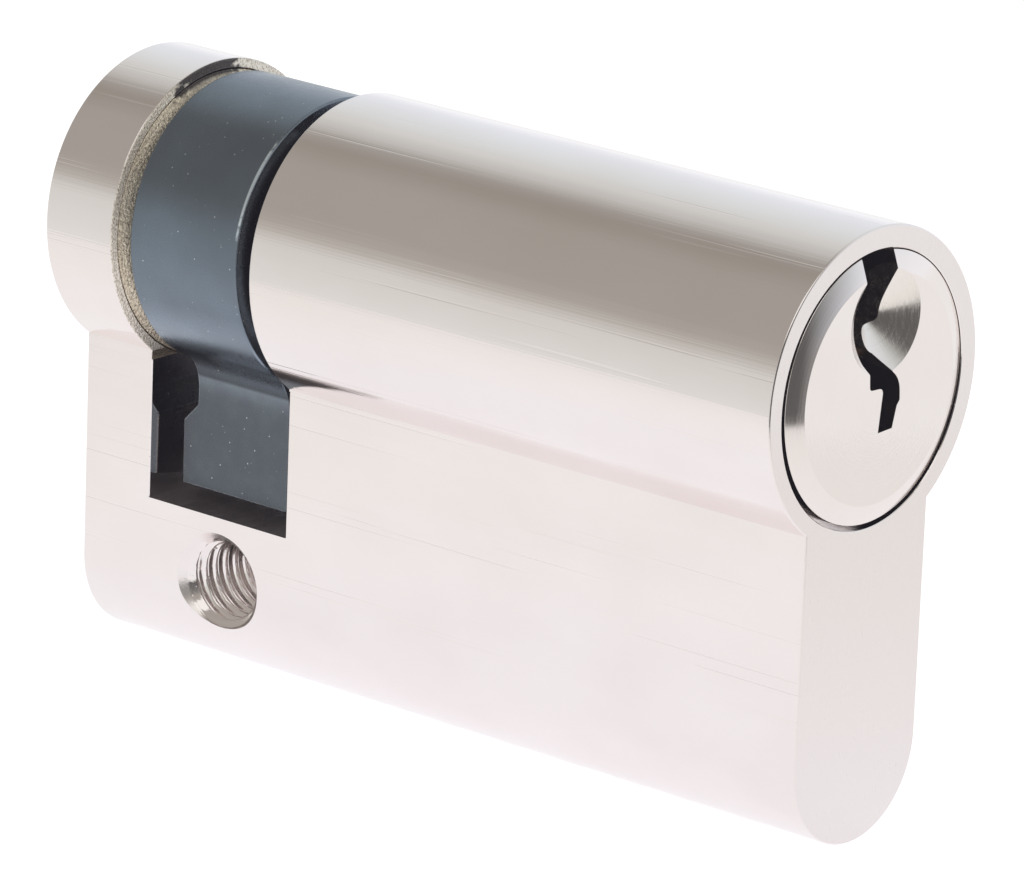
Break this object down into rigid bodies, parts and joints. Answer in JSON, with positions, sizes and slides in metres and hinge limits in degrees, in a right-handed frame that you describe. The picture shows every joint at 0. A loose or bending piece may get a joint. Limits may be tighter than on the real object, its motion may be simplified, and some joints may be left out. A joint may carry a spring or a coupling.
{
  "type": "euro cylinder",
  "caption": "Half euro-profile lock cylinder: plated brass housing with a round barrel on a stem, keyed turning plug, spring pins, cam in its slot and a fixing screw hole.",
  "frame": {"origin": "centre of the tapped fixing screw hole, in the housing's mid-plane", "axes": "+X along the plug axis towards the keyed face, +Y across the housing, +Z from the stem up to the round barrel"},
  "size_m": [0.0504, 0.017, 0.033],
  "materials": {
    "nickel_plated_brass": "nickel plate over drawn brass, satin bright",
    "plug_nickel_brass": "nickel plate over turned brass, fine satin",
    "blued_zinc_steel": "sintered steel with blue-grey zinc plate, satin",
    "bare_brass": "turned brass",
    "spring_steel": "drawn spring wire"
  },
  "bodies": {
    "housing": {"cylinder_body": "nickel_plated_brass", "rear_bearing": "bare_brass", "chamber_stopper_1": "bare_brass", "chamber_stopper_2": "bare_brass", "chamber_stopper_3": "bare_brass", "chamber_stopper_4": "bare_brass", "chamber_stopper_5": "bare_brass", "chamber_stopper_6": "bare_brass", "spring_1": "spring_steel", "spring_2": "spring_steel", "spring_3": "spring_steel", "spring_4": "spring_steel", "spring_5": "spring_steel", "spring_6": "spring_steel"},
    "plug_and_cam": {"plug": "plug_nickel_brass", "retaining_clip": "spring_steel", "coupling": "blued_zinc_steel", "cam": "blued_zinc_steel"},
    "driver_1": {"driver_pin_1": "bare_brass"},
    "key_pin_1": {"key_pin_1": "bare_brass"},
    "driver_2": {"driver_pin_2": "bare_brass"},
    "key_pin_2": {"key_pin_2": "bare_brass"},
    "driver_3": {"driver_pin_3": "bare_brass"},
    "key_pin_3": {"key_pin_3": "bare_brass"},
    "driver_4": {"driver_pin_4": "bare_brass"},
    "key_pin_4": {"key_pin_4": "bare_brass"},
    "driver_5": {"driver_pin_5": "bare_brass"},
    "key_pin_5": {"key_pin_5": "bare_brass"},
    "driver_6": {"driver_pin_6": "bare_brass"},
    "key_pin_6": {"key_pin_6": "bare_brass"}
  },
  "joints": [
    {"name": "plug_turn", "type": "hinge", "parent": "housing", "child": "plug_and_cam", "pos_m": [0, 0, 0.019], "axis": [1, 0, 0], "range_deg": [-360, 360]},
    {"name": "driver_pin_1_lift", "type": "slide", "parent": "housing", "child": "driver_1", "axis": [0, 0, 1], "range_m": [-0.0015, 0.003], "stiffness_N_per_m": 150, "deforming": ["spring_1"]},
    {"name": "key_pin_1_lift", "type": "slide", "parent": "plug_and_cam", "child": "key_pin_1", "axis": [0, 0, 1], "range_m": [-0.0015, 0.003]},
    {"name": "driver_pin_2_lift", "type": "slide", "parent": "housing", "child": "driver_2", "axis": [0, 0, 1], "range_m": [-0.0033, 0.0012], "stiffness_N_per_m": 150, "deforming": ["spring_2"]},
    {"name": "key_pin_2_lift", "type": "slide", "parent": "plug_and_cam", "child": "key_pin_2", "axis": [0, 0, 1], "range_m": [-0.0033, 0.0012]},
    {"name": "driver_pin_3_lift", "type": "slide", "parent": "housing", "child": "driver_3", "axis": [0, 0, 1], "range_m": [-0.0021, 0.0024], "stiffness_N_per_m": 150, "deforming": ["spring_3"]},
    {"name": "key_pin_3_lift", "type": "slide", "parent": "plug_and_cam", "child": "key_pin_3", "axis": [0, 0, 1], "range_m": [-0.0021, 0.0024]},
    {"name": "driver_pin_4_lift", "type": "slide", "parent": "housing", "child": "driver_4", "axis": [0, 0, 1], "range_m": [-0.0008, 0.0037], "stiffness_N_per_m": 150, "deforming": ["spring_4"]},
    {"name": "key_pin_4_lift", "type": "slide", "parent": "plug_and_cam", "child": "key_pin_4", "axis": [0, 0, 1], "range_m": [-0.0008, 0.0037]},
    {"name": "driver_pin_5_lift", "type": "slide", "parent": "housing", "child": "driver_5", "axis": [0, 0, 1], "range_m": [-0.0027, 0.0018], "stiffness_N_per_m": 150, "deforming": ["spring_5"]},
    {"name": "key_pin_5_lift", "type": "slide", "parent": "plug_and_cam", "child": "key_pin_5", "axis": [0, 0, 1], "range_m": [-0.0027, 0.0018]},
    {"name": "driver_pin_6_lift", "type": "slide", "parent": "housing", "child": "driver_6", "axis": [0, 0, 1], "range_m": [-0.0018, 0.0027], "stiffness_N_per_m": 150, "deforming": ["spring_6"]},
    {"name": "key_pin_6_lift", "type": "slide", "parent": "plug_and_cam", "child": "key_pin_6", "axis": [0, 0, 1], "range_m": [-0.0018, 0.0027]}
  ],
  "couplings": [
    {"joint": "key_pin_1_lift", "follows": "driver_pin_1_lift", "ratio": 1},
    {"joint": "key_pin_2_lift", "follows": "driver_pin_2_lift", "ratio": 1},
    {"joint": "key_pin_3_lift", "follows": "driver_pin_3_lift", "ratio": 1},
    {"joint": "key_pin_4_lift", "follows": "driver_pin_4_lift", "ratio": 1},
    {"joint": "key_pin_5_lift", "follows": "driver_pin_5_lift", "ratio": 1},
    {"joint": "key_pin_6_lift", "follows": "driver_pin_6_lift", "ratio": 1}
  ]
}
